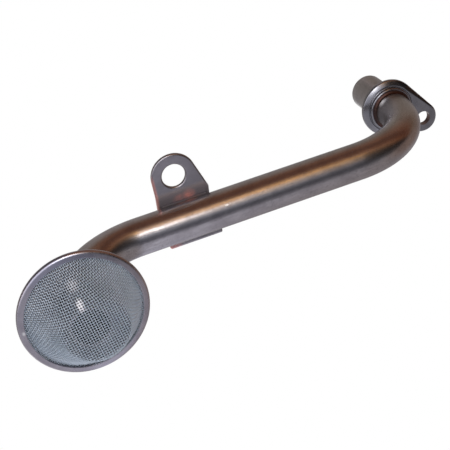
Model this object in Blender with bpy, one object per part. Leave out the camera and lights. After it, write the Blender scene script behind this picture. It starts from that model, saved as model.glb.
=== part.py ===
"""Oil pickup tube: a bent steel pipe with a bolted flange and spigot at the pump end,
a brazed steady bracket on its run, and a rolled dish with a hat-shaped wire screen
at the sump end.

Frame: +Z is engine up, the way the spigot points. +X runs from the dish to the flange.
The origin is where the spigot's axis crosses the flange's seat face.
"""
import math

import bmesh
import bpy
from mathutils import Matrix, Vector

MM = 0.001

# Fit between brazed or crimped pieces
GAP = 0.3 * MM

# Tube
TUBE_RADIUS = 11.0 * MM
TUBE_WALL = 1.5 * MM
BEND_RADIUS = 47.0 * MM
RUN_LENGTH = 229.5 * MM          # spigot axis to inlet axis
SEAT_TO_BEND = 10.4 * MM         # flange seat to the start of the first bend
SPIGOT_LENGTH = 31.5 * MM        # above the flange seat
SPIGOT_CHAMFER = 0.8 * MM
BEND_TO_RIM = 12.3 * MM          # end of the second bend to the dish's rim plane
INLET_LENGTH = 17.0 * MM         # below the rim plane, inside the screen
TUBE_SIDES = 32
BEND_STEPS = 14

# Flange
FLANGE_RADIUS = 18.2 * MM
FLANGE_THICKNESS = 4.2 * MM
FLANGE_EDGE = 0.5 * MM
LOBE_RADIUS = 9.6 * MM
BOLT_X = 20.9 * MM
BOLT_Y = 13.6 * MM
BOLT_HOLE_RADIUS = 4.5 * MM
BOSS_RADIUS = 13.9 * MM
BOSS_HEIGHT = 1.8 * MM
BRAZE_LEG = 1.3 * MM             # leg of each fillet of braze

# Steady bracket
SHEET = 2.7 * MM
BRACKET_WIDTH = 32.0 * MM
BRACKET_X = -151.2 * MM          # middle of the saddle
SADDLE_END = -8.0                # degrees round the tube, from +Y
SADDLE_WRAP = 112.0              # degrees round the tube where the arm leaves it
ARM_LENGTH = 13.0 * MM           # saddle to the tab's bend
TAB_BEND_RADIUS = 13.0 * MM      # to the sheet's middle
TAB_HOLE_Y = -26.6 * MM
TAB_HOLE_RADIUS = 6.9 * MM
TAB_END_RADIUS = 13.3 * MM
TAB_SHOULDER_Y = -13.0 * MM      # where the taper to the tab's end begins
BEAD_ENDS = 2.5 * MM             # the bracket's braze stops short of its ends
BEAD_ROOT = 3.0                  # degrees from where its two faces would meet
BEAD_SWEEP = 15.0                # degrees of the tube that it covers

# Dish
RIM_RADIUS = 35.5 * MM
DISH_SHEET = 1.2 * MM
LIP_WIDTH = 4.5 * MM
SCREEN_SHEET = 0.7 * MM
NECK_TOP = 13.4 * MM             # neck's end, above the rim plane
FLOOR_DEPTH = 8.6 * MM           # floor's foot, above the rim plane
NECK_BEND = 1.8 * MM
DISH_SIDES = 40

# Screen
PLATEAU_RADIUS = 17.5 * MM
PLATEAU_SHIFT = 2.4 * MM         # the plateau sits off the dish's axis, towards +X
HAT_HEIGHT = 21.0 * MM           # rim plane to the plateau
HEM_INSIDE_LIP = 2.4 * MM
MESH_PITCH = 2.9 * MM
MESH_ANGLE = -9.6                # degrees, wires against the run
GAP_SHARE = 0.29                 # wire half width over the pitch
RIDGE = 0.35 * MM
WALL_ROWS = 5


def clear_scene():
    for old in list(bpy.data.objects):
        bpy.data.objects.remove(old, do_unlink=True)


def material(name, colour, roughness, metallic=1.0):
    mat = bpy.data.materials.new(name)
    mat.use_nodes = True
    shader = mat.node_tree.nodes["Principled BSDF"]
    shader.inputs["Base Color"].default_value = (*colour, 1.0)
    shader.inputs["Roughness"].default_value = roughness
    shader.inputs["Metallic"].default_value = metallic
    return mat


def add_object(name, bm, mat=None, sharp_angle=40.0):
    """Put a bmesh into the scene as one object, smooth except at its sharp edges."""
    mesh = bpy.data.meshes.new(name)
    bm.to_mesh(mesh)
    bm.free()
    mesh.shade_smooth()
    mesh.set_sharp_from_angle(angle=math.radians(sharp_angle))
    if mat:
        mesh.materials.append(mat)
    obj = bpy.data.objects.new(name, mesh)
    bpy.context.scene.collection.objects.link(obj)
    return obj


def guide(name, bm):
    """A cutter or joining shape, left out of the part itself."""
    obj = add_object(name, bm)
    obj.hide_render = True
    obj.display_type = 'WIRE'
    return obj


def boolean(obj, other, operation):
    mod = obj.modifiers.new(other.name, 'BOOLEAN')
    mod.object = other
    mod.operation = operation
    mod.solver = 'EXACT'


def arc(centre, radius, start, end, steps):
    """Points of an arc in a plane, angles in degrees."""
    points = []
    for k in range(steps + 1):
        a = math.radians(start + (end - start) * k / steps)
        points.append((centre[0] + radius * math.cos(a), centre[1] + radius * math.sin(a)))
    return points


def thicken(line, thickness):
    """Closed outline of a bent sheet, from the line along its middle."""
    left, right = [], []
    for k, (x, y) in enumerate(line):
        before = Vector(line[max(k - 1, 0)])
        here = Vector((x, y))
        after = Vector(line[min(k + 1, len(line) - 1)])
        into = (here - before).normalized() if k else (after - here).normalized()
        out = (after - here).normalized() if k < len(line) - 1 else into
        along = (into + out).normalized()
        reach = thickness / 2 / max(along.dot(into), 0.5)
        side = Vector((-along.y, along.x)) * reach
        left.append(tuple(here + side))
        right.append(tuple(here - side))
    return left + right[::-1]


def lathe(profile, centre_x, sides):
    """Solid of revolution about a vertical axis, from a closed (radius, z) outline."""
    bm = bmesh.new()
    verts = [bm.verts.new((r, 0.0, z)) for r, z in profile]
    edges = [bm.edges.new((a, b)) for a, b in zip(verts, verts[1:] + verts[:1])]
    bmesh.ops.spin(bm, geom=verts + edges, cent=(0, 0, 0), axis=(0, 0, 1),
                   angle=math.tau, steps=sides, use_merge=True)
    bmesh.ops.remove_doubles(bm, verts=bm.verts, dist=1e-7)
    bmesh.ops.recalc_face_normals(bm, faces=bm.faces)
    bmesh.ops.translate(bm, verts=bm.verts, vec=(centre_x, 0, 0))
    return bm


def prism(outline, low, high, axis='Z'):
    """Closed outline extruded between two levels along Z, or along X from a (y, z) outline."""
    bm = bmesh.new()
    if axis == 'Z':
        verts = [bm.verts.new((u, v, low)) for u, v in outline]
        step = (0, 0, high - low)
    else:
        verts = [bm.verts.new((low, u, v)) for u, v in outline]
        step = (high - low, 0, 0)
    face = bm.faces.new(verts)
    swept = bmesh.ops.extrude_face_region(bm, geom=[face])
    moved = [g for g in swept["geom"] if isinstance(g, bmesh.types.BMVert)]
    bmesh.ops.translate(bm, verts=moved, vec=step)
    bmesh.ops.recalc_face_normals(bm, faces=bm.faces)
    return bm


def cylinder(centre, radius, low, high, sides=40):
    bm = bmesh.new()
    place = Matrix.Translation((centre[0], centre[1], (low + high) / 2))
    bmesh.ops.create_cone(bm, cap_ends=True, segments=sides, radius1=radius,
                          radius2=radius, depth=high - low, matrix=place)
    return bm


def run_level():
    """Height of the run's axis."""
    return -SEAT_TO_BEND - BEND_RADIUS


def rim_plane():
    return run_level() - BEND_RADIUS - BEND_TO_RIM


def tube_stations():
    """Centre, direction and radius change at each ring of the tube, spigot to inlet."""
    stations = []
    top = SPIGOT_LENGTH
    stations.append(((0, 0, top), (0, 0, -1), -SPIGOT_CHAMFER))
    stations.append(((0, 0, top - SPIGOT_CHAMFER), (0, 0, -1), 0))
    for k in range(BEND_STEPS + 1):
        a = math.pi / 2 * k / BEND_STEPS
        x = -BEND_RADIUS * (1 - math.cos(a))
        z = run_level() + BEND_RADIUS * (1 - math.sin(a))
        stations.append(((x, 0, z), (-math.sin(a), 0, -math.cos(a)), 0))
    for k in range(BEND_STEPS + 1):
        a = math.pi / 2 * k / BEND_STEPS
        x = -RUN_LENGTH + BEND_RADIUS * (1 - math.sin(a))
        z = run_level() - BEND_RADIUS * (1 - math.cos(a))
        stations.append(((x, 0, z), (-math.cos(a), 0, -math.sin(a)), 0))
    stations.append(((-RUN_LENGTH, 0, rim_plane() - INLET_LENGTH), (0, 0, -1), 0))
    return stations


def pickup_tube(steel):
    bm = bmesh.new()
    outer, inner = [], []
    for centre, direction, change in tube_stations():
        centre, direction = Vector(centre), Vector(direction)
        across = Vector((0, 1, 0))
        up = direction.cross(across)
        rings = []
        for radius in (TUBE_RADIUS + change, TUBE_RADIUS - TUBE_WALL):
            ring = []
            for k in range(TUBE_SIDES):
                a = math.tau * k / TUBE_SIDES
                ring.append(bm.verts.new(centre + radius * (math.cos(a) * across + math.sin(a) * up)))
            rings.append(ring)
        outer.append(rings[0])
        inner.append(rings[1])

    def bridge(a, b):
        for k in range(TUBE_SIDES):
            n = (k + 1) % TUBE_SIDES
            bm.faces.new((a[k], a[n], b[n], b[k]))

    for rings in (outer, inner):
        for a, b in zip(rings, rings[1:]):
            bridge(a, b)
    bridge(outer[0], inner[0])
    bridge(outer[-1], inner[-1])
    bmesh.ops.recalc_face_normals(bm, faces=bm.faces)
    return add_object("pickup_tube", bm, steel)


def flange_outline():
    """Two circles joined by their outer tangents."""
    reach = math.hypot(BOLT_X, BOLT_Y)
    towards = math.degrees(math.atan2(BOLT_Y, BOLT_X))
    spread = math.degrees(math.acos((FLANGE_RADIUS - LOBE_RADIUS) / reach))
    big = arc((0, 0), FLANGE_RADIUS, towards + spread, towards + 360 - spread, 32)
    small = arc((BOLT_X, BOLT_Y), LOBE_RADIUS, towards - spread, towards + spread, 16)
    return big + small


def mounting_flange(steel):
    plate = add_object("mounting_flange", prism(flange_outline(), -FLANGE_THICKNESS, 0), steel)
    edge = plate.modifiers.new("rolled edges", 'BEVEL')
    edge.width = FLANGE_EDGE
    edge.segments = 2
    edge.limit_method = 'ANGLE'
    edge.angle_limit = math.radians(50)
    low = -FLANGE_THICKNESS - BOSS_HEIGHT
    crown = BOSS_HEIGHT / 2
    boss = [(0, -FLANGE_THICKNESS / 2), (BOSS_RADIUS, -FLANGE_THICKNESS / 2),
            (BOSS_RADIUS, low + crown), (BOSS_RADIUS - crown * 0.3, low + crown * 0.3),
            (BOSS_RADIUS - crown, low), (0, low)]
    bm = lathe(boss, 0, 40)
    boolean(plate, guide("boss_shape", bm), 'UNION')
    bore = cylinder((0, 0), TUBE_RADIUS + GAP, 2 * low, -low)
    boolean(plate, guide("flange_bore", bore), 'DIFFERENCE')
    bolt = cylinder((BOLT_X, BOLT_Y), BOLT_HOLE_RADIUS, 2 * low, -low, 32)
    boolean(plate, guide("bolt_hole", bolt), 'DIFFERENCE')
    return plate


def fillet_ring(name, foot, drop, axis_x, braze):
    """Ring of braze in the corner between the tube and a face at height foot."""
    inside = TUBE_RADIUS + GAP
    hollow = BRAZE_LEG * 0.4
    start = foot + math.copysign(GAP, drop)
    leg = math.copysign(BRAZE_LEG, drop)
    profile = [(inside, start), (inside + BRAZE_LEG, start),
               (inside + hollow, start + math.copysign(hollow, drop)), (inside, start + leg)]
    return add_object(name, lathe(profile, axis_x, DISH_SIDES), braze)


def bracket_line():
    """Middle of the bracket's sheet in the (y, z) plane, from the saddle to the tab's end."""
    radius = TUBE_RADIUS + GAP + SHEET / 2
    points = arc((0, run_level()), radius, SADDLE_END, SADDLE_WRAP, 14)
    slope = math.radians(SADDLE_WRAP + 90)
    along = Vector((math.cos(slope), math.sin(slope)))
    crease = Vector(points[-1]) + along * ARM_LENGTH
    turn = math.radians(SADDLE_WRAP - 90)
    trim = TAB_BEND_RADIUS * math.tan(turn / 2)
    start = crease - along * trim
    centre = start + Vector((along.y, -along.x)) * TAB_BEND_RADIUS
    first = math.degrees(math.atan2(start.y - centre.y, start.x - centre.x))
    points += arc(centre, TAB_BEND_RADIUS, first, first - math.degrees(turn), 6)
    points.append((TAB_HOLE_Y - TAB_END_RADIUS, points[-1][1]))
    return points


def bracket_plan():
    """Outline of the bracket seen along Z: a saddle, a tapered arm and a round tab end."""
    left = BRACKET_X - BRACKET_WIDTH / 2
    right = BRACKET_X + BRACKET_WIDTH / 2
    hole_x = left + TAB_END_RADIUS
    shoulder = Vector((right - hole_x, TAB_SHOULDER_Y - TAB_HOLE_Y))
    angle = math.atan2(shoulder.y, shoulder.x) - math.acos(TAB_END_RADIUS / shoulder.length)
    end = arc((hole_x, TAB_HOLE_Y), TAB_END_RADIUS, math.degrees(angle), -180, 24)
    back = TUBE_RADIUS + GAP + SHEET * 2
    return [(left, back), (right, back), (right, TAB_SHOULDER_Y)] + end, (hole_x, TAB_HOLE_Y)


def mounting_bracket(steel):
    left = BRACKET_X - BRACKET_WIDTH / 2
    right = BRACKET_X + BRACKET_WIDTH / 2
    strip = prism(thicken(bracket_line(), SHEET), left, right, 'X')
    bracket = add_object("mounting_bracket", strip, steel)
    plan, hole = bracket_plan()
    low, high = run_level() - 2 * TUBE_RADIUS, run_level() + 2 * TUBE_RADIUS
    boolean(bracket, guide("bracket_blank", prism(plan, low, high)), 'INTERSECT')
    boolean(bracket, guide("tab_hole", cylinder(hole, TAB_HOLE_RADIUS, low, high)), 'DIFFERENCE')
    return bracket


def bracket_braze(braze):
    """Wedge of braze between the tube's side and the bracket's arm."""
    touching = math.degrees(math.acos(TUBE_RADIUS / (TUBE_RADIUS + GAP)))
    start = SADDLE_WRAP + touching + BEAD_ROOT
    tube_side = arc((0, run_level()), TUBE_RADIUS + GAP, start, start + BEAD_SWEEP, 6)
    normal = Vector((math.cos(math.radians(SADDLE_WRAP)), math.sin(math.radians(SADDLE_WRAP))))
    arm_side = []
    for y, z in tube_side:
        point = Vector((y, z - run_level()))
        reached = point + normal * (TUBE_RADIUS - point.dot(normal))
        arm_side.append((reached.x, reached.y + run_level()))
    outline = tube_side + arm_side[:0:-1]
    low = BRACKET_X - BRACKET_WIDTH / 2 + BEAD_ENDS
    high = BRACKET_X + BRACKET_WIDTH / 2 - BEAD_ENDS
    return add_object("bracket_braze", prism(outline, low, high, 'X'), braze)


def dish_line():
    """Middle of the dish's sheet as (radius, height above the rim plane), neck to lip."""
    half = DISH_SHEET / 2
    neck = TUBE_RADIUS + GAP + half
    seat = SCREEN_SHEET / 2 + GAP + half
    fold_x = RIM_RADIUS - half - seat
    slope_x = RIM_RADIUS - LIP_WIDTH
    lip_end = RIM_RADIUS - LIP_WIDTH + half
    points = [(neck, NECK_TOP)]
    points += arc((neck + NECK_BEND, FLOOR_DEPTH + NECK_BEND), NECK_BEND, 180, 245, 4)
    points += [(slope_x, seat)]
    points += arc((fold_x, 0), seat, 90, -90, 8)
    points += [(lip_end, -seat)]
    return points


def strainer_dish(steel):
    level = rim_plane()
    profile = [(r, level + h) for r, h in thicken(dish_line(), DISH_SHEET)]
    return add_object("strainer_dish", lathe(profile, -RUN_LENGTH, DISH_SIDES), steel)


def hat_axis(share):
    """Middle of the screen along X: share 0 at the plateau's edge, 1 at the dish's lip."""
    return -RUN_LENGTH + PLATEAU_SHIFT * (1 - share)


def hat_point(share, angle):
    """Point of the screen's wall, at the same shares."""
    radius = PLATEAU_RADIUS + (RIM_RADIUS - LIP_WIDTH - PLATEAU_RADIUS) * share
    x = hat_axis(share) + radius * math.cos(angle)
    z = rim_plane() - HAT_HEIGHT * (1 - share)
    return Vector((x, radius * math.sin(angle), z))


def plateau_cells(bm):
    """Square cells over the plateau; corners past its edge are pulled back onto it."""
    turn = Matrix.Rotation(math.radians(MESH_ANGLE), 2)
    count = int(PLATEAU_RADIUS / MESH_PITCH) + 2
    margin = 0.35 * MESH_PITCH
    centre = Vector((hat_axis(0), 0, rim_plane() - HAT_HEIGHT))

    def spot(i, j):
        return turn @ Vector(((i + 0.5) * MESH_PITCH, (j + 0.5) * MESH_PITCH))

    inside = {(i, j) for i in range(-count, count) for j in range(-count, count)
              if spot(i, j).length < PLATEAU_RADIUS - margin}
    verts = {}

    def vertex(key):
        if key not in verts:
            p = spot(*key)
            if key not in inside:
                p = p.normalized() * PLATEAU_RADIUS
            verts[key] = bm.verts.new(centre + p.to_3d())
        return verts[key]

    open_cells = []
    for i in range(-count, count):
        for j in range(-count, count):
            keys = [(i, j), (i + 1, j), (i + 1, j + 1), (i, j + 1)]
            if not inside.intersection(keys):
                continue
            face = bm.faces.new([vertex(k) for k in keys])
            if inside.issuperset(keys):
                open_cells.append(face)
    return open_cells


def strainer_screen(wire):
    """Wire cloth drawn into a hat: a flat plateau of open mesh, a ridged wall and a hem."""
    bm = bmesh.new()
    open_cells = plateau_cells(bm)
    wall_cells = [f for f in bm.faces if f not in open_cells]
    edges = [e for e in bm.edges if e.is_boundary]
    for row in range(1, WALL_ROWS + 2):
        grown = bmesh.ops.extrude_edge_only(bm, edges=edges)["geom"]
        edges = [g for g in grown if isinstance(g, bmesh.types.BMEdge)]
        for v in [g for g in grown if isinstance(g, bmesh.types.BMVert)]:
            angle = math.atan2(v.co.y, v.co.x - hat_axis((row - 1) / WALL_ROWS))
            if row <= WALL_ROWS:
                v.co = hat_point(row / WALL_ROWS, angle)
            else:
                hem = RIM_RADIUS - LIP_WIDTH + HEM_INSIDE_LIP
                v.co = Vector((-RUN_LENGTH + hem * math.cos(angle), hem * math.sin(angle), rim_plane()))
        if row <= WALL_ROWS:
            wall_cells += [g for g in grown if isinstance(g, bmesh.types.BMFace)]
    bmesh.ops.recalc_face_normals(bm, faces=bm.faces)
    if open_cells[0].normal.z > 0:
        bmesh.ops.reverse_faces(bm, faces=bm.faces)
    bmesh.ops.inset_individual(bm, faces=open_cells, thickness=GAP_SHARE * MESH_PITCH,
                               depth=-RIDGE, use_even_offset=True)
    bmesh.ops.delete(bm, geom=open_cells, context='FACES')
    bmesh.ops.poke(bm, faces=[f for f in wall_cells if f.is_valid], offset=-RIDGE)
    screen = add_object("strainer_screen", bm, wire, 60.0)
    sheet = screen.modifiers.new("wire thickness", 'SOLIDIFY')
    sheet.thickness = SCREEN_SHEET
    sheet.offset = 0
    return screen


def main():
    clear_scene()
    bare_steel = material("bare steel", (0.36, 0.34, 0.33), 0.34)
    pressed_steel = material("pressed steel", (0.33, 0.31, 0.32), 0.38)
    dish_steel = material("rim steel", (0.40, 0.37, 0.38), 0.32)
    wire = material("screen wire", (0.50, 0.56, 0.60), 0.35)
    copper = material("copper braze", (0.48, 0.20, 0.13), 0.45)
    pickup_tube(bare_steel)
    mounting_flange(pressed_steel)
    fillet_ring("flange_braze", -FLANGE_THICKNESS - BOSS_HEIGHT, -1, 0, copper)
    mounting_bracket(pressed_steel)
    bracket_braze(copper)
    strainer_dish(dish_steel)
    fillet_ring("dish_braze", rim_plane() + NECK_TOP, 1, -RUN_LENGTH, copper)
    strainer_screen(wire)


main()
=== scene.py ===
import math

import bmesh
import bpy
from mathutils import Matrix, Vector


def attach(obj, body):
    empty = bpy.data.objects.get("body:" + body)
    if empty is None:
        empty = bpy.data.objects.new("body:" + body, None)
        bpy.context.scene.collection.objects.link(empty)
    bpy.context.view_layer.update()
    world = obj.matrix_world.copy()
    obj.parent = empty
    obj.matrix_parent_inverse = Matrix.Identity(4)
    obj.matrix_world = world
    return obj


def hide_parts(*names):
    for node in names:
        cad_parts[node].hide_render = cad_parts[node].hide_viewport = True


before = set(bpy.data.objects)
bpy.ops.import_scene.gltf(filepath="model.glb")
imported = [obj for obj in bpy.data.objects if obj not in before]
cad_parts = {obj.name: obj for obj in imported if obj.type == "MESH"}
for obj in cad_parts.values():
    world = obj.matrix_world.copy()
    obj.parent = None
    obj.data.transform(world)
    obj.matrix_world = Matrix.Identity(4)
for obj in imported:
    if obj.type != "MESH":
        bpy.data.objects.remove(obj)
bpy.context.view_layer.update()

MM = 0.001
WELD = 1e-7  # metres: vertices nearer than this are one
FIT_GAP = 0.3 * MM  # between the tube and what is pressed or brazed on it

# Tube, in the same places as its solid. It runs from the spigot down to the upper bend,
# along the run, and down through the lower bend to its mouth on the dish's axis.
TUBE_RADIUS = 11 * MM
TUBE_WALL = 1.5 * MM
TUBE_SIDES = 96
BEND = 47 * MM
RUN_X = -229.5 * MM
RUN_Z = -57.4 * MM
SPIGOT_TOP = 31.5 * MM
BEND_TOP = -10.4 * MM
MOUTH_Z = -133.7 * MM

# Flange. BOLT is the middle of its bolt hole and of the lobe round it.
FLANGE_RADIUS_MM = 18.2
BOLT = (20.9 * MM, 13.6 * MM)
BOLT_HOLE = 4.5 * MM
LOBE = 9.6 * MM
BOSS_RADIUS = 13.9 * MM
BOSS_FACE = -6.0 * MM

# The flange plate's side in mm, as (inset, level) from its crowned near face to its seat
CROWN = ((3.3, -4.2), (2.7, -3.96), (2.0, -3.63), (1.3, -3.26), (0.6, -2.86), (0.3, -2.66),
         (0.07, -2.35), (0, -1.9), (0, -0.5), (0.15, -0.15), (0.5, 0))

# Bracket. The saddle's angles are in degrees round the tube, and the arm reaches from the
# saddle's end to the crease.
BRACKET_X = -151.2 * MM
BRACKET_HALF = 16.0 * MM
SHEET = 2.7 * MM
SADDLE_START, SADDLE_WRAP = -8.0, 112.0
ARM_MM = 13
TAB_HOLE = 6.9 * MM
TAB_HOLE_Y = -26.6 * MM
TAB_END = 13.3 * MM
TAB_BEND = 13.0 * MM
TAB_SHOULDER = -13.0 * MM

# Dish. Heights are above the rim's middle, towards the tube.
RIM_Z = -116.7 * MM
RIM_RADIUS = 35.5 * MM
LIP_INSIDE = 31.0 * MM
LIP_ROUND = 1.25 * MM
DISH_SHEET = 1.2 * MM
NECK_TOP = 13.4 * MM
NECK_ROUND = 1.8 * MM
CONE_SLOPE = 0.416

# Screen: woven cloth drawn into a hat, whose plateau sits off the dish's axis
HAT_TOP = 20.9 * MM
PLATEAU_RADIUS = 17.5 * MM
PLATEAU_SHIFT = (2.4 * MM, 1.2 * MM)
WALL_RUN = LIP_INSIDE - PLATEAU_RADIUS
WIRE_RADIUS = 0.215 * MM
WIRE_PITCH = 1.42 * MM
POINTS_PER_PITCH = 4
WEAVE_TURN = math.radians(-9.6)
CLOTH_REACH = 44.0 * MM

# Camera: its axes, eye and focal length were solved from the outlines in the photograph
CAMERA_RIGHT = Vector((0.92780402, 0.20427525, -0.31217195))
CAMERA_UP = Vector((0.32245077, -0.85994028, 0.39563646))
CAMERA_BACK = Vector((-0.1876305, -0.46773319, -0.86372476))
CAMERA_EYE = Vector((-0.27075671, -0.33274291, -0.69201596))
SENSOR = 36
FRAME_PIXELS = 450
FOCAL_PIXELS = 1270
PART_CENTRE = Vector((-0.1176, -0.0025, -0.0543))
BACKDROP_DISTANCE = 6.0
BACKDROP_HALF = 1.3

# What the metal sees round the run's axis, as degrees above the view line and a colour:
# a warm room overhead, the soft window, a dark gap and the pale table in front of the part.
# The four bands follow each other along X, from beyond the dish to the engine's side.
LEFT = (
    (-180, (0.38, 0.36, 0.36)), (-120, (0.58, 0.56, 0.60)), (-60, (0.55, 0.54, 0.59)),
    (-40, (0.36, 0.36, 0.42)), (-12, (0.80, 0.80, 0.90)), (10, (2.0, 1.95, 2.05)),
    (26, (1.3, 1.2, 1.25)), (42, (0.10, 0.085, 0.09)), (90, (0.07, 0.055, 0.055)),
    (125, (0.30, 0.27, 0.25)), (180, (0.38, 0.36, 0.36)))
DISH_SIDE = (
    (-180, (0.38, 0.35, 0.35)), (-130, (0.82, 0.83, 0.98)), (-60, (0.96, 0.97, 1.14)),
    (-46, (0.19, 0.19, 0.24)), (-24, (0.13, 0.14, 0.18)), (-10, (0.60, 0.65, 0.77)),
    (8, (0.80, 0.70, 0.66)), (26, (1.2, 0.78, 0.50)), (40, (0.27, 0.12, 0.065)),
    (54, (0.20, 0.070, 0.034)), (84, (0.25, 0.105, 0.056)), (102, (0.37, 0.28, 0.24)),
    (125, (0.43, 0.38, 0.37)), (180, (0.38, 0.35, 0.35)))
MIDDLE = (
    (-180, (0.36, 0.33, 0.34)), (-140, (0.36, 0.33, 0.34)), (-75, (0.46, 0.43, 0.48)),
    (-56, (0.40, 0.39, 0.44)), (-44, (0.08, 0.08, 0.105)), (-24, (0.065, 0.072, 0.095)),
    (-8, (0.38, 0.38, 0.44)), (10, (1.22, 0.80, 0.46)), (26, (2.5, 1.30, 0.33)),
    (40, (0.33, 0.135, 0.05)), (54, (0.15, 0.052, 0.023)), (84, (0.22, 0.094, 0.05)),
    (102, (0.33, 0.25, 0.21)), (125, (0.36, 0.32, 0.30)), (180, (0.36, 0.33, 0.34)))
ENGINE_SIDE = (
    (-180, (0.36, 0.33, 0.34)), (-75, (0.42, 0.38, 0.39)), (-50, (0.36, 0.34, 0.36)),
    (-35, (0.09, 0.088, 0.10)), (-15, (0.03, 0.022, 0.02)), (7, (0.04, 0.026, 0.02)),
    (22, (0.16, 0.085, 0.04)), (37, (0.42, 0.20, 0.10)), (52, (0.20, 0.075, 0.038)),
    (70, (0.14, 0.055, 0.03)), (85, (0.28, 0.12, 0.065)), (105, (0.28, 0.17, 0.12)),
    (125, (0.30, 0.26, 0.22)), (180, (0.36, 0.33, 0.34)))
BAND_EDGES = ((-0.06, 0.10), (0.13, 0.21), (0.245, 0.295))
FAR_END_EDGE = (0.60, 0.95)
FAR_END_TINT = (0.80, 0.62, 0.50)
ROOM_GREY = (0.62, 0.62, 0.63)


class Socket:
    """An output socket, so that sums on it are written as plain Python."""

    def __init__(self, finish, link):
        self.finish, self.link = finish, link

    def _math(self, operation, *values):
        return self.finish.node('ShaderNodeMath', {'operation': operation},
                                dict(enumerate(values)))

    def __add__(self, other):
        return self._math('ADD', self, other)

    def __sub__(self, other):
        return self._math('SUBTRACT', self, other)

    def __rsub__(self, other):
        return self._math('SUBTRACT', other, self)

    def __mul__(self, other):
        return self._math('MULTIPLY', self, other)

    def __truediv__(self, other):
        return self._math('DIVIDE', self, other)

    def __rtruediv__(self, other):
        return self._math('DIVIDE', other, self)

    def __pow__(self, other):
        return self._math('POWER', self, other)

    __radd__, __rmul__ = __add__, __mul__

    def larger(self, other):
        return self._math('MAXIMUM', self, other)

    def step(self, low, high):
        """0 below low, 1 above high and smooth between them."""
        return self.finish.node('ShaderNodeMapRange', {'interpolation_type': 'SMOOTHSTEP'},
                                {'Value': self, 'From Min': low, 'From Max': high})


class Finish:
    """A node tree of one finish, with one method that adds any node."""

    def __init__(self, name="", base=(0.5, 0.5, 0.5), roughness=0.4, metallic=1.0, tree=None):
        self.tree = tree
        if tree is None:
            self.material = bpy.data.materials.new(name)
            self.material.use_nodes = True
            self.tree = self.material.node_tree
            self.shader = self.tree.nodes["Principled BSDF"]
            self.set("Base Color", base)
            self.set("Roughness", roughness)
            self.set("Metallic", metallic)

    def node(self, kind, settings=None, values=None, output=0):
        """A new node's output, once its settings are made and its sockets are fed."""
        made = self.tree.nodes.new(kind)
        for key, setting in (settings or {}).items():
            if key == 'stops':
                ramp = made.color_ramp.elements
                while len(ramp) < len(setting):
                    ramp.new(0.5)
                for stop, (place, colour) in zip(ramp, setting):
                    stop.position = place
                    stop.color = (*colour, 1)
            else:
                setattr(made, key, setting)
        for key, value in (values or {}).items():
            self.feed(made.inputs[key], value)
        return Socket(self, made.outputs[output])

    def feed(self, socket, value):
        """Link an output to the socket, or write a number, a colour or a vector on it."""
        if isinstance(value, Socket):
            self.tree.links.new(value.link, socket)
        elif isinstance(value, (int, float)):
            socket.default_value = value
        else:
            full = len(socket.default_value)
            socket.default_value = (*value, 1)[:full] if len(value) < full else value

    def set(self, name, value):
        self.feed(self.shader.inputs[name], value)

    def mix(self, share, low, high, blend='MIX'):
        """Colours of a Mix node: its inputs 6 and 7 and its output 2."""
        return self.node('ShaderNodeMix', {'data_type': 'RGBA', 'blend_type': blend},
                         {0: share, 6: low, 7: high}, 2)

    def place(self):
        return self.node('ShaderNodeTexCoord', output='Object')

    def own(self, name):
        return self.node('ShaderNodeAttribute', {'attribute_name': name}, output='Vector')

    def stretched(self, vector, scale):
        return self.node('ShaderNodeMapping', None, {0: vector, 'Scale': scale})

    def noise(self, vector, scale, detail):
        return self.node('ShaderNodeTexNoise', None,
                         {'Vector': vector, 'Scale': scale, 'Detail': detail, 'Roughness': 0.55})

    def dot(self, vector, other):
        return self.node('ShaderNodeVectorMath', {'operation': 'DOT_PRODUCT'},
                         {0: vector, 1: other}, 'Value')

    def split(self, vector):
        made = self.node('ShaderNodeSeparateXYZ', None, {0: vector})
        return [Socket(self, out) for out in made.link.node.outputs]

    def spot(self, vector, centre, reach, core=0.3):
        """1 in the core of an ellipsoid round centre, falling to 0 at its outer edge."""
        away = self.node('ShaderNodeVectorMath', {'operation': 'SUBTRACT'},
                         {0: vector, 1: centre})
        scaled = self.node('ShaderNodeVectorMath', {'operation': 'DIVIDE'}, {0: away, 1: reach})
        far = self.node('ShaderNodeVectorMath', {'operation': 'LENGTH'}, {0: scaled}, 'Value')
        return 1 - far.step(core, 1.0)

    def bump(self, height, distance, strength, under=None):
        values = {'Height': height, 'Distance': distance, 'Strength': strength}
        if under is not None:
            values['Normal'] = under
        return self.node('ShaderNodeBump', None, values)

    def grained(self, fine, least, gain, depth, strength):
        """Roughness and bump that follow the fine grain."""
        self.set("Roughness", least + fine * gain)
        self.set("Normal", self.bump(fine, depth, strength))


# Camera and surroundings

def add_object(name, data):
    obj = bpy.data.objects.new(name, data)
    bpy.context.scene.collection.objects.link(obj)
    return obj


def camera_turn():
    return Matrix((CAMERA_RIGHT, CAMERA_UP, CAMERA_BACK)).transposed().to_4x4()


def put_camera():
    data = bpy.data.cameras.new("camera")
    data.sensor_width = SENSOR
    data.lens = SENSOR * FOCAL_PIXELS / FRAME_PIXELS
    camera = add_object("camera", data)
    camera.matrix_world = Matrix.Translation(CAMERA_EYE) @ camera_turn()
    bpy.context.scene.camera = camera


def seen_directly(finish):
    """Two masks: the camera's own rays, and the rays of a reflection or of glass."""
    path = finish.node('ShaderNodeLightPath')
    outs = {out.name: Socket(finish, out) for out in path.link.node.outputs}
    return outs['Is Camera Ray'], outs['Is Glossy Ray'].larger(outs['Is Transmission Ray'])


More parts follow.
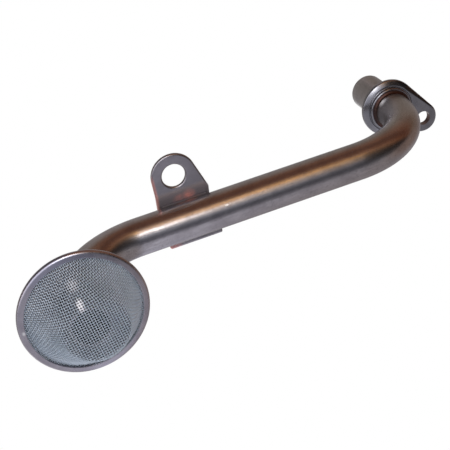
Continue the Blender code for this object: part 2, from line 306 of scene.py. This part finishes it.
def put_backdrop():
    """A pale sheet far behind the part, square to the view."""
    bm = bmesh.new()
    bmesh.ops.create_grid(bm, x_segments=1, y_segments=1, size=BACKDROP_HALF)
    middle = Matrix.Translation(PART_CENTRE - CAMERA_BACK * BACKDROP_DISTANCE)
    bmesh.ops.transform(bm, matrix=middle @ camera_turn(), verts=bm.verts)
    mesh = mesh_of("backdrop", bm)
    finish = Finish("pale sheet", (0.85, 0.85, 0.85), 0.8, 0.0)
    camera, glossy = seen_directly(finish)
    glow = finish.node('ShaderNodeEmission', None, {'Color': (1, 1, 1), 'Strength': 1.0})
    plain = Socket(finish, finish.shader.outputs[0])
    both = finish.node('ShaderNodeMixShader', None,
                       {0: camera.larger(glossy), 1: plain, 2: glow})
    finish.feed(finish.tree.nodes["Material Output"].inputs[0], both)
    mesh.materials.append(finish.material)
    add_object("backdrop", mesh)


def put_world():
    """White for the camera, the four bands for reflections and plain grey light for the rest."""
    world = bpy.data.worlds.new("studio")
    bpy.context.scene.world = world
    world.use_nodes = True
    finish = Finish(tree=world.node_tree)
    back = Vector((0, CAMERA_BACK.y, CAMERA_BACK.z)).normalized()
    over = Vector((0, back.z, -back.y))
    towards = finish.node('ShaderNodeTexCoord', output='Generated')
    round_run = finish.node('ShaderNodeMath', {'operation': 'ARCTAN2'},
                            {0: finish.dot(towards, over), 1: finish.dot(towards, back)})
    turn = round_run / math.tau + 0.5
    bands = []
    for band in (LEFT, DISH_SIDE, MIDDLE, ENGINE_SIDE):
        stops = [((angle + 180) / 360, colour) for angle, colour in band]
        bands.append(finish.node('ShaderNodeValToRGB', {'stops': stops}, {0: turn}))
    across = finish.dot(towards, (1, 0, 0))
    room = bands[0]
    for band, edge in zip(bands[1:], BAND_EDGES):
        room = finish.mix(across.step(*edge), room, band)
    warmer = finish.mix(1.0, room, FAR_END_TINT, 'MULTIPLY')
    room = finish.mix(across.step(*FAR_END_EDGE), room, warmer)
    camera, glossy = seen_directly(finish)
    unseen = finish.mix(glossy, ROOM_GREY, room)
    background = world.node_tree.nodes["Background"]
    finish.feed(background.inputs["Color"], finish.mix(camera, unseen, (1, 1, 1)))
    background.inputs["Strength"].default_value = 1.0


def put_lamp(name, direction, distance, size, power):
    """A round soft lamp that faces the part's middle from the direction."""
    data = bpy.data.lights.new(name, 'AREA')
    data.shape = 'DISK'
    data.size = size
    data.energy = power
    lamp = add_object(name, data)
    back = Vector(direction).normalized()
    lamp.location = PART_CENTRE + back * distance
    lamp.rotation_mode = 'QUATERNION'
    lamp.rotation_quaternion = back.to_track_quat('Z', 'Y')


# Making shapes

def arc(centre, radius, start, end, steps):
    """Points on an arc, from the start angle to the end angle in degrees."""
    points = []
    for k in range(steps + 1):
        a = math.radians(start + (end - start) * k / steps)
        points.append((centre[0] + radius * math.cos(a), centre[1] + radius * math.sin(a)))
    return points


def thicken(line, thickness):
    """Closed outline of a bent sheet, from the line along its middle."""
    left, right = [], []
    for k, point in enumerate(line):
        here = Vector(point)
        into = (here - Vector(line[k - 1])).normalized() if k else None
        out = (Vector(line[k + 1]) - here).normalized() if k < len(line) - 1 else into
        into = into or out
        along = (into + out).normalized()
        side = Vector((-along.y, along.x)) * thickness / 2 / max(along.dot(into), 0.5)
        left.append(tuple(here + side))
        right.append(tuple(here - side))
    return left + right[::-1]


def closed_line(bm, verts):
    return [bm.edges.new(pair) for pair in zip(verts, verts[1:] + verts[:1])]


def only(kind, elements):
    return [element for element in elements if isinstance(element, kind)]


def lathe(profile, centre_x, steps=160):
    """A closed profile of (radius, z) turned round the Z line through centre_x."""
    bm = bmesh.new()
    verts = [bm.verts.new((r, 0, z)) for r, z in profile]
    bmesh.ops.spin(bm, geom=verts + closed_line(bm, verts), cent=(0, 0, 0), axis=(0, 0, 1),
                   angle=math.tau, steps=steps, use_merge=True)
    bmesh.ops.remove_doubles(bm, verts=bm.verts, dist=WELD)
    bmesh.ops.recalc_face_normals(bm, faces=bm.faces)
    bmesh.ops.translate(bm, verts=bm.verts, vec=(centre_x, 0, 0))
    put_in_order(bm)
    return bm


def prism(outline, low, high):
    bm = bmesh.new()
    face = bm.faces.new([bm.verts.new((u, v, low)) for u, v in outline])
    swept = bmesh.ops.extrude_face_region(bm, geom=[face])
    bmesh.ops.translate(bm, verts=only(bmesh.types.BMVert, swept["geom"]), vec=(0, 0, high - low))
    bmesh.ops.recalc_face_normals(bm, faces=bm.faces)
    return bm


def cylinder(centre, radius, low, high, sides=72):
    bm = bmesh.new()
    bmesh.ops.create_cone(bm, cap_ends=True, segments=sides, radius1=radius, radius2=radius,
                          depth=high - low,
                          matrix=Matrix.Translation((centre[0], centre[1], (low + high) / 2)))
    return bm


def round_edges(bm, sharper, width, segments):
    """Bevel the edges where two faces turn by more than this many degrees."""
    limit = math.radians(sharper)
    edges = [e for e in bm.edges if len(e.link_faces) == 2 and e.calc_face_angle() > limit]
    bmesh.ops.bevel(bm, geom=edges, offset=width, offset_type='OFFSET', affect='EDGES',
                    segments=segments, profile=0.5, material=-1, clamp_overlap=True)


def put_in_order(bm):
    """Sort a shape's elements by place, because the operators leave them in any order.

    Places count to a tenth of a micrometre, and the same shape then comes out of each run."""
    def middle(element):
        places = [v.co for v in getattr(element, "verts", (element,))]
        return tuple(round(sum(place[k] for place in places) / len(places), 7) for k in range(3))

    for elements in (bm.verts, bm.edges, bm.faces):
        rank = {element: k for k, element in enumerate(sorted(elements, key=middle))}
        elements.sort(key=rank.get)


def mesh_of(name, bm):
    """The shape as a mesh. The bmesh is gone after it."""
    mesh = bpy.data.meshes.new(name)
    bm.to_mesh(mesh)
    bm.free()
    return mesh


def cut(bm, *steps):
    """The shape after Boolean steps of (operation, cutter), as a fresh bmesh."""
    put_in_order(bm)
    body = add_object("blank", mesh_of("blank", bm))
    cutters = []
    for operation, cutter in steps:
        put_in_order(cutter)
        cutters.append(add_object("cutter", mesh_of("cutter", cutter)))
        mod = body.modifiers.new("cut", 'BOOLEAN')
        mod.object, mod.operation, mod.solver = cutters[-1], operation, 'EXACT'
    shape = bmesh.new()
    shape.from_object(body, bpy.context.evaluated_depsgraph_get())
    for obj in [body] + cutters:
        bpy.data.objects.remove(obj, do_unlink=True)
    bmesh.ops.remove_doubles(shape, verts=shape.verts, dist=WELD)
    bmesh.ops.dissolve_limit(shape, angle_limit=math.radians(0.5), verts=shape.verts,
                             edges=shape.edges)
    return shape


def declare(obj, node=None):
    """Hang the piece on the part's root, and hide the node that it replaces."""
    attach(obj, "root")
    if node:
        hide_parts(node)


def piece(name, bm, finish, node, sharp=35):
    """One finished piece, smooth except at edges sharper than this many degrees."""
    put_in_order(bm)
    mesh = mesh_of(name, bm)
    mesh.shade_smooth()
    mesh.set_sharp_from_angle(angle=math.radians(sharp))
    mesh.materials.append(finish.material)
    obj = add_object(name, mesh)
    even = obj.modifiers.new("even shading", 'WEIGHTED_NORMAL')
    even.keep_sharp = True
    declare(obj, node)


# Tube

def tube_place(point):
    """(along, across Y, across the bends' plane) of a point on or in the tube, in metres."""
    x, y, z = point
    bend = BEND * math.pi / 2
    straight = -RUN_X - 2 * BEND
    if z > BEND_TOP - 1e-9:
        return (SPIGOT_TOP - z, y, x)
    if x > -BEND:
        angle = math.atan2(BEND_TOP - z, x + BEND)
        away = math.hypot(x + BEND, BEND_TOP - z)
        return (SPIGOT_TOP - BEND_TOP + BEND * angle, y, away - BEND)
    if x > RUN_X + BEND:
        return (SPIGOT_TOP - BEND_TOP + bend - BEND - x, y, RUN_Z - z)
    start = SPIGOT_TOP - BEND_TOP + bend + straight
    if z > RUN_Z - BEND:
        dx, dz = RUN_X + BEND - x, z - (RUN_Z - BEND)
        return (start + BEND * math.atan2(dx, dz), y, BEND - math.hypot(dx, dz))
    return (start + bend + RUN_Z - BEND - z, y, x - RUN_X)


def pickup_tube(finish):
    """The tube's outside drawn along its line, then given its wall and rounded ends."""
    bm = bmesh.new()
    bmesh.ops.create_circle(bm, segments=TUBE_SIDES, radius=TUBE_RADIUS,
                            matrix=Matrix.Translation((0, 0, SPIGOT_TOP)))
    edges = bm.edges[:]

    def straight(way, count):
        nonlocal edges
        for _ in range(count):
            grown = bmesh.ops.extrude_edge_only(bm, edges=edges)["geom"]
            edges = only(bmesh.types.BMEdge, grown)
            bmesh.ops.translate(bm, verts=only(bmesh.types.BMVert, grown),
                                vec=tuple(part / count for part in way))

    def bend(centre, angle):
        nonlocal edges
        verts = list(dict.fromkeys(v for e in edges for v in e.verts))
        turned = bmesh.ops.spin(bm, geom=verts + edges, cent=centre, axis=(0, 1, 0),
                                angle=angle, steps=36)
        edges = only(bmesh.types.BMEdge, turned["geom_last"])

    straight((0, 0, BEND_TOP - SPIGOT_TOP), 6)
    bend((-BEND, 0, BEND_TOP), math.pi / 2)
    straight((RUN_X + 2 * BEND, 0, 0), 18)
    bend((RUN_X + BEND, 0, RUN_Z - BEND), -math.pi / 2)
    straight((0, 0, MOUTH_Z - RUN_Z + BEND), 6)
    bmesh.ops.remove_doubles(bm, verts=bm.verts, dist=WELD)
    bmesh.ops.recalc_face_normals(bm, faces=bm.faces)
    first = min(bm.faces, key=lambda f: f.calc_center_median().x)
    if first.normal.x > 0:
        bmesh.ops.reverse_faces(bm, faces=bm.faces)
    put_in_order(bm)
    layer = bm.verts.layers.float_vector.new("along_tube")
    for v in bm.verts:
        v[layer] = tube_place(v.co)
    mesh = mesh_of("tube", bm)
    mesh.shade_smooth()
    mesh.materials.append(finish.material)
    tube = add_object("tube", mesh)
    wall = tube.modifiers.new("wall", 'SOLIDIFY')
    wall.thickness, wall.offset, wall.use_even_offset = TUBE_WALL, -1, True
    rims = tube.modifiers.new("rounded mouth and spigot", 'BEVEL')
    rims.width, rims.segments, rims.limit_method = 0.4 * MM, 3, 'ANGLE'
    rims.angle_limit = math.radians(50)
    declare(tube, "pickup_tube")


# Flange and its braze

def flange_ring(bm, big, small, level):
    """Closed line of edges round the circle and the lobe, at their outer tangents."""
    towards = math.degrees(math.atan2(BOLT[1], BOLT[0]))
    spread = math.degrees(math.acos((big - small) / math.hypot(*BOLT)))
    line = arc((0, 0), big, towards + spread, towards + 360 - spread, 96)
    line += arc(BOLT, small, towards - spread, towards + spread, 48)
    return closed_line(bm, [bm.verts.new((x, y, level)) for x, y in line])


def mounting_flange(finish):
    """Plate with a crowned near side, a turned boss with a groove round it, and two holes."""
    plate = bmesh.new()
    rings = [flange_ring(plate, (FLANGE_RADIUS_MM - inset) * MM, LOBE - inset * 0.32 * MM,
                         level * MM) for inset, level in CROWN]
    for ring, following in zip(rings, rings[1:]):
        bmesh.ops.bridge_loops(plate, edges=ring + following)
    for ring in (rings[0], rings[-1]):
        bmesh.ops.contextual_create(plate, geom=ring)
    bmesh.ops.recalc_face_normals(plate, faces=plate.faces)
    root, edge, through = -2 * MM, 0.9 * MM, 20 * MM
    boss = [(0, root), (BOSS_RADIUS, root)]
    boss += arc((BOSS_RADIUS - edge, BOSS_FACE + edge), edge, 0, -90, 8) + [(0, BOSS_FACE)]
    groove = arc((BOSS_RADIUS + 0.35 * MM, -4.2 * MM), 0.45 * MM, 0, 345, 12)
    shape = cut(plate, ('UNION', lathe(boss, 0, 120)), ('DIFFERENCE', lathe(groove, 0, 120)),
                ('DIFFERENCE', cylinder((0, 0), TUBE_RADIUS + FIT_GAP, -through, through, 96)),
                ('DIFFERENCE', cylinder(BOLT, BOLT_HOLE, -through, through)))
    piece("flange", shape, finish, "mounting_flange", 40)


def braze_ring(name, node, foot, way, centre_x, finish, leg=1.5 * MM):
    """Concave ring of braze between the tube and a face, up (1) or down (-1) from its foot."""
    film = 0.02 * MM
    inside = TUBE_RADIUS + film
    start = foot + way * film
    curve = arc((inside + leg, start + way * leg), leg, 180, 180 + 90 * way, 10)
    profile = [(inside, start)] + [(inside, start + way * leg)] + curve[1:]
    piece(name, lathe(profile, centre_x, 120), finish, node)


# Bracket

def bracket_line():
    """Middle of the bracket's sheet in the (y, z) plane, from the saddle to the tab's end."""
    radius = TUBE_RADIUS + FIT_GAP + SHEET / 2
    points = arc((0, RUN_Z), radius, SADDLE_START, SADDLE_WRAP, 40)
    slope = math.radians(SADDLE_WRAP + 90)
    along = Vector((math.cos(slope), math.sin(slope)))
    crease = Vector(points[-1]) + along * ARM_MM * MM
    turn = math.radians(SADDLE_WRAP - 90)
    start = crease - along * TAB_BEND * math.tan(turn / 2)
    centre = start + Vector((along.y, -along.x)) * TAB_BEND
    first = math.degrees(math.atan2(start.y - centre.y, start.x - centre.x))
    points += arc(centre, TAB_BEND, first, first - math.degrees(turn), 12)
    points.append((TAB_HOLE_Y - TAB_END, points[-1][1]))
    return [Vector(p) for p in points]


def mounting_bracket(finish):
    """A flat blank with rounded edges, bent round the tube and down to the tab."""
    line = bracket_line()
    places = [0.0]
    for here, there in zip(line, line[1:]):
        places.append(places[-1] + (there - here).length)
    left, right = BRACKET_X - BRACKET_HALF, BRACKET_X + BRACKET_HALF
    hole = (left + TAB_END, places[-1] - TAB_END)
    shoulder = Vector((right - hole[0], TAB_SHOULDER - TAB_HOLE_Y))
    angle = math.atan2(shoulder.y, shoulder.x) - math.acos(TAB_END / shoulder.length)
    tab = arc((hole[0], 0), TAB_END, math.degrees(angle), -180, 64)
    outline = [(left, 0), (right, 0), (right, hole[1] - shoulder.y)]
    outline += [(x, hole[1] - y) for x, y in tab]
    bm = cut(prism(outline, -SHEET / 2, SHEET / 2),
             ('DIFFERENCE', cylinder(hole, TAB_HOLE, -SHEET, SHEET, 64)))
    round_edges(bm, 60, 1.1 * MM, 5)
    for place in places[1:-1]:
        bmesh.ops.bisect_plane(bm, geom=bm.verts[:] + bm.edges[:] + bm.faces[:], dist=WELD,
                               plane_co=(0, place, 0), plane_no=(0, 1, 0))
    for v in bm.verts:
        k = max(i for i, place in enumerate(places[:-1]) if place <= max(v.co.y, 0) + WELD)
        span = (line[k + 1] - line[k]).normalized()
        before = (line[k] - line[k - 1]).normalized() if k else span
        step = v.co.y - places[k]
        side = (span + before).normalized() if step < 1e-6 else span
        on = line[k] + span * step + Vector((side.y, -side.x)) * v.co.z
        v.co = (v.co.x, on.x, on.y)
    bmesh.ops.recalc_face_normals(bm, faces=bm.faces)
    piece("bracket", bm, finish, "mounting_bracket", 50)


# Dish with its rolled lip

def strainer_dish(finish):
    """One turned sheet: the neck, the cone, and the lip rolled round to the near side."""
    half = DISH_SHEET / 2
    neck = TUBE_RADIUS + FIT_GAP + half
    line = [(neck, NECK_TOP)]
    line += arc((neck + NECK_ROUND, 10.4 * MM), NECK_ROUND, 180, 245, 10)
    line += [(LIP_INSIDE, LIP_ROUND)]
    line += arc((RIM_RADIUS - half - LIP_ROUND, 0), LIP_ROUND, 90, -81, 18)
    line += [(31.6 * MM, -1.59 * MM)]
    bm = lathe([(r, RIM_Z + h) for r, h in thicken(line, DISH_SHEET)], RUN_X)
    round_edges(bm, 60, 0.5 * MM, 4)
    piece("dish", bm, finish, "strainer_dish", 50)


# Screen

def soft_least(a, b, blend):
    """The smaller of two lengths, rounded over where they are about the same."""
    low = min(a, b)
    return low - blend * math.log(math.exp((low - a) / blend) + math.exp((low - b) / blend))


def hat_line():
    """Half section of the formed cloth: (share of the wall, height, length from the middle)."""
    start, span, steps = -1.0, 2.6, 400
    shoulder, hem = 0.8 * MM, 0.6 * MM
    line, length, last = [], 0.0, None
    for k in range(steps + 1):
        share = start + span * k / steps
        height = soft_least(HAT_TOP, HAT_TOP * (1 - share), shoulder)
        height = -soft_least(-height, -hem, hem)
        run = WALL_RUN * share
        if last is not None:
            length += math.hypot(run - last[0], height - last[1])
        last = (run, height)
        line.append((share, height, length))
    flat = PLATEAU_RADIUS + WALL_RUN * start
    return [(share, height, flat + length) for share, height, length in line]


def formed(line, flat_x, flat_y, lift):
    """Where a point of the flat cloth goes on the hat, lifted off its surface."""
    reach = math.hypot(flat_x, flat_y)
    if reach <= line[0][2]:
        share, height, slope = (reach - PLATEAU_RADIUS) / WALL_RUN, line[0][1], 0.0
    else:
        low, high = 0, len(line) - 1
        while high - low > 1:
            middle = (low + high) // 2
            low, high = (middle, high) if line[middle][2] < reach else (low, middle)
        (share, height, length), (next_share, next_height, next_length) = line[low], line[high]
        slope = math.atan2(height - next_height, WALL_RUN * (next_share - share))
        step = (reach - length) / (next_length - length)
        share += step * (next_share - share)
        height += step * (next_height - height)
    angle = math.atan2(flat_y, flat_x)
    shift = Vector(PLATEAU_SHIFT) * (1 - min(max(share, 0), 1))
    out = PLATEAU_RADIUS + WALL_RUN * share + lift * math.sin(slope)
    return Vector((RUN_X + shift.x + out * math.cos(angle), shift.y + out * math.sin(angle),
                   RIM_Z - height - lift * math.cos(slope)))


def screen_wires(family, finish):
    """One direction of the woven cloth, each wire passing over and under its neighbours."""
    line = hat_line()
    count = int(CLOTH_REACH / WIRE_PITCH)
    data = bpy.data.curves.new("wires", 'CURVE')
    data.dimensions, data.fill_mode = '3D', 'FULL'
    data.bevel_depth, data.bevel_resolution = WIRE_RADIUS, 1
    for i in range(-count, count + 1):
        across = i * WIRE_PITCH
        half = math.sqrt(max(CLOTH_REACH ** 2 - across ** 2, 0))
        steps = int(half / WIRE_PITCH * POINTS_PER_PITCH)
        if steps < 6:
            continue
        spline = data.splines.new('POLY')
        spline.points.add(2 * steps)
        way = (-1) ** i * (1 if family else -1)
        for k in range(-steps, steps + 1):
            along = k * WIRE_PITCH / POINTS_PER_PITCH
            u, v = (along, across) if family else (across, along)
            x = u * math.cos(WEAVE_TURN) - v * math.sin(WEAVE_TURN)
            y = u * math.sin(WEAVE_TURN) + v * math.cos(WEAVE_TURN)
            # The weave is pressed flatter between the lip and the dish
            to_hem = CLOTH_REACH - 1.5 * MM - math.hypot(x, y)
            pressed = min(1, max(0.35, to_hem / (2 * MM)))
            lift = math.cos(math.pi * k / POINTS_PER_PITCH) * way * WIRE_RADIUS * pressed
            spline.points[k + steps].co = (*formed(line, x, y, lift), 1)
    curve = add_object("wires", data)
    depsgraph = bpy.context.evaluated_depsgraph_get()
    mesh = bpy.data.meshes.new_from_object(curve.evaluated_get(depsgraph))
    bpy.data.objects.remove(curve, do_unlink=True)
    mesh.name = ("screen_warp", "screen_weft")[family]
    mesh.shade_smooth()
    mesh.materials.clear()
    mesh.materials.append(finish.material)
    declare(add_object(mesh.name, mesh), None if family else "strainer_screen")


# Finishes

def steel(name, grain, light, dark=None, cloud=(0.35, 0.7), attribute=None):
    """A metal whose colour is cloudy from light to dark: its finish, place, grain and colour."""
    finish = Finish(name, light)
    place = finish.own(attribute) if attribute else finish.place()
    fine = finish.noise(finish.stretched(place, grain), 1.0, 4)
    if dark is None:
        return finish, place, fine, light
    cloudy = finish.noise(place, 90.0, 3)
    return finish, place, fine, finish.mix(cloudy.step(*cloud), light, dark)


def tube_finish():
    """Drawn steel: grain along the tube, specks, painted shade inside it and a few painted
    highlights.
    """
    finish, place, fine, shade = steel("bare steel", (110, 900, 900), (0.44, 0.42, 0.42),
                                       (0.36, 0.34, 0.345), attribute="along_tube")
    where = finish.place()
    x, y, z = finish.split(where)
    speckle = finish.noise(place, 1500.0, 2)
    shade = finish.mix(fine.step(0.3, 0.75) * 0.35, shade, (0.30, 0.28, 0.285))
    shade = finish.mix(speckle.step(0.54, 0.70) * 0.5, shade, (0.16, 0.15, 0.15))
    stain = finish.spot(where, (-0.2405, -0.0085, -0.0995), (0.005, 0.006, 0.004))
    shade = finish.mix(stain * 0.7, shade, (0.36, 0.20, 0.15))
    # Painted shade in the bore, which ends below the bend, because the bend's outside crosses the
    # dish's axis too
    bore_shade = 1 - ((x - RUN_X) ** 2 + y ** 2).step((10.0 * MM) ** 2, (10.6 * MM) ** 2)
    bore_shade = bore_shade * (1 - z.step(-0.1100, -0.1060))
    shade = finish.mix(bore_shade, shade, (0.012, 0.011, 0.012))
    # Painted highlights: pale, less metallic spots at the tube's mouth and on the elbow
    mouth_highlight = finish.spot(where, (-0.2312, -0.0109, -0.1275), (0.0022, 0.0040, 0.0070))
    shade = finish.mix(mouth_highlight, shade, (0.95, 0.93, 0.95))
    elbow_highlight = finish.spot(where, (-0.0069, -0.0086, -0.0089), (0.0042, 0.0042, 0.0046), 0.1)
    shade = finish.mix(elbow_highlight, shade, (0.95, 0.94, 0.95))
    # A nick with a painted glint: a small pale, less metallic spot
    nick_glint = finish.spot(where, (-0.1311, -0.0059, -0.0667), (0.0014, 0.0006, 0.0006), 0.5)
    finish.set("Base Color", finish.mix(nick_glint, shade, (0.95, 0.90, 0.86)))
    finish.set("Metallic", 1 - nick_glint * 0.8 - mouth_highlight.larger(elbow_highlight) * 0.5)
    past_elbow = finish.split(place)[0].step(0.050, 0.085)
    finish.set("Roughness", 0.24 - past_elbow * 0.075 + fine * 0.10 + speckle * 0.06)
    under = finish.bump(speckle, 0.00005, 0.35)
    finish.set("Normal", finish.bump(fine, 0.00006, 0.5, under))
    return finish


def flange_finish():
    """Pressed steel, with painted shade on the edge that turns from the window, and brown in the
    bolt hole.
    """
    finish, place, fine, shade = steel("flange steel", (500, 500, 500), (0.30, 0.30, 0.32),
                                       (0.23, 0.23, 0.245))
    x, y = finish.split(place)[:2]
    # Painted shade on the far edge, which turns from the window
    shaded_far_edge = (x * 0.770 - y * 0.636).step(14.8 * MM, 16.4 * MM)
    shade = finish.mix(shaded_far_edge * 0.75, shade, (0.09, 0.10, 0.115))
    hole = finish.spot(place, (*BOLT, -0.002), (5.0 * MM, 5.0 * MM, 20 * MM), 0.85)
    finish.set("Base Color", finish.mix(hole, shade, (0.13, 0.06, 0.045)))
    finish.grained(fine, 0.19, 0.12, 0.00006, 0.4)
    return finish


def bracket_finish():
    """Pressed steel with copper stains, a copper side edge and a duller arm."""
    finish, place, fine, shade = steel("pressed steel", (500, 500, 500), (0.38, 0.36, 0.38),
                                       (0.30, 0.285, 0.30))
    uneven = finish.noise(place, 420.0, 3)
    marks = ((-0.1480, -0.0118, -0.0500, 0.0055, 1.2), (-0.1535, -0.0106, -0.0503, 0.0055, 0.6),
             (-0.1660, 0.0130, -0.0580, 0.0075, 0.9))
    stain = 0.0
    for x, y, z, reach, share in marks:
        spot = finish.spot(place, (x, y, z), (reach, reach, reach), 0.1)
        stain = (spot * (uneven * 1.6).larger(0.4) * share).larger(stain)
    x, y = finish.split(place)[:2]
    left = BRACKET_X - BRACKET_HALF
    side = 1 - x.step(left + 0.7 * MM, left + 2 * MM)
    side = side * y.step(-0.032, -0.026) * (1 - y.step(-0.002, 0.0)) * 0.7
    arm = y.step(-0.0195, -0.0150) * (1 - y.step(-0.004, 0.0))
    shade = finish.mix(arm, shade, (0.30, 0.265, 0.285))
    finish.set("Base Color", finish.mix(stain.larger(side), shade, (0.90, 0.42, 0.37)))
    finish.set("Metallic", 1 - arm * 0.65)
    finish.grained(fine, 0.28, 0.14, 0.00008, 0.4)
    return finish


def seam_finish():
    """Braze that shows copper in one place and is dark elsewhere."""
    finish, place, fine, shade = steel("bracket seam", (800, 800, 800), (0.13, 0.11, 0.116))
    bare = finish.spot(place, (-0.146, -0.008, -0.048), (0.007, 0.006, 0.006))
    finish.set("Base Color", finish.mix(bare * 0.5, shade, (0.20, 0.10, 0.08)))
    finish.set("Metallic", 0.1)
    finish.grained(fine, 0.5, 0.2, 0.0001, 0.4)
    return finish


def dish_finish():
    """Pressed steel with painted light: a bluish tint where the lip catches its highlight,
    painted shade on the inside behind the cloth, and a painted highlight and glint on the lip.
    """
    finish, place, fine, shade = steel("rim steel", (400, 400, 400), (0.46, 0.44, 0.48),
                                       (0.38, 0.36, 0.40))
    x, y, z = finish.split(place)
    # A bluish tint painted where the lip catches its highlight, so that the highlight shows white
    highlight_tint = finish.spot(place, (-0.2420, -0.0330, -0.1175), (0.030, 0.012, 0.012), 0.5)
    shade = finish.mix(highlight_tint, shade, (0.42, 0.42, 0.49))
    reach = ((x - RUN_X) ** 2 + y ** 2) ** 0.5
    off_cone = z - RIM_Z - LIP_ROUND - (LIP_INSIDE - reach) * CONE_SLOPE
    inside = (1 - off_cone.step(-0.2 * MM, 0.2 * MM)) * (1 - reach.step(30.2 * MM, 30.8 * MM))
    # The inside behind the cloth is plain grey, with painted shade in a patch off the axis
    shaded_patch = finish.spot(place, (-0.2220, 0.0130, -0.1120), (0.024, 0.024, 0.030), 0.7)
    inner = finish.mix(shaded_patch, (0.40, 0.40, 0.42), (0.22, 0.22, 0.24))
    shade = finish.mix(inside, shade, inner)
    crease = finish.spot(place, (-0.2453, 0.0274, -0.1180), (0.015, 0.015, 0.015), 0.75)
    # A painted highlight: the lip's inner edge is painted pale on the near side only, and stops
    # at the crease in the hem
    edge = reach.step(30.6 * MM, 30.9 * MM) * (1 - reach.step(31.5 * MM, 31.9 * MM))
    edge = edge * (1 - crease) * (1 - z.step(RIM_Z - 0.8 * MM, RIM_Z - 0.5 * MM))
    shade = finish.mix(edge, shade, (0.70, 0.75, 0.80))
    # A painted glint: a small white, less metallic spot on the lip
    glint = finish.spot(place, (-0.2622, -0.0006, -0.1180), (0.0014, 0.0020, 0.0014))
    finish.set("Base Color", finish.mix(glint, shade, (0.85, 0.85, 0.87)))
    finish.set("Metallic", 1 - glint.larger(edge) * 0.7)
    finish.grained(fine, 0.22, 0.12, 0.00006, 0.4)
    return finish


def wire_finish():
    """Dull zinc wire, with the inlet's highlight painted on it as a bright, glowing streak and
    patch.
    """
    finish, place, fine, shade = steel("screen wire", (700, 700, 700), (0.68, 0.76, 0.84),
                                       (0.58, 0.66, 0.74), (0.3, 0.7))
    # Painted highlights: the inlet's highlight seen through the cloth, as a streak and a patch
    streak = finish.spot(place, (-0.2318, -0.0166, -0.1370), (0.0026, 0.0062, 0.0040))
    patch = finish.spot(place, (-0.2322, -0.0242, -0.1292), (0.0050, 0.0050, 0.0060), 0.2)
    painted_shine = streak.larger(patch * 0.42)
    finish.set("Base Color", finish.mix(painted_shine, shade, (1.0, 0.98, 1.0)))
    finish.set("Metallic", 0.75 - painted_shine * 0.75)
    # The painted highlights glow too
    finish.set("Emission Color", finish.mix(painted_shine, (0, 0, 0), (0.24, 0.23, 0.25)))
    finish.set("Emission Strength", 1.0)
    finish.set("Roughness", 0.46 + fine * 0.12)
    return finish


def copper_finish():
    """Dark braze, with little of its copper to see."""
    finish, place, fine, shade = steel("copper braze", (800, 800, 800), (0.10, 0.052, 0.042),
                                       (0.05, 0.036, 0.034), (0.3, 0.7))
    finish.set("Base Color", shade)
    finish.grained(fine, 0.34, 0.2, 0.0001, 0.6)
    return finish


bpy.context.scene.view_settings.view_transform = 'Standard'
put_camera()
put_backdrop()
put_world()
put_lamp("window above the camera", (-0.0926, -0.6053, -0.7907), distance=0.95, size=0.36,
         power=1.6)
put_lamp("soft lamp behind", (-0.5, 0.8, 0.3), distance=1.2, size=0.7, power=0.8)

copper = copper_finish()
wire = wire_finish()
pickup_tube(tube_finish())
mounting_flange(flange_finish())
braze_ring("flange_fillet", "flange_braze", BOSS_FACE, -1, 0, copper, 1.9 * MM)
mounting_bracket(bracket_finish())
strainer_dish(dish_finish())
braze_ring("dish_fillet", "dish_braze", RIM_Z + NECK_TOP, 1, RUN_X, copper)
for family in (0, 1):
    screen_wires(family, wire)
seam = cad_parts["bracket_braze"]
seam.data.materials.clear()
seam.data.materials.append(seam_finish().material)
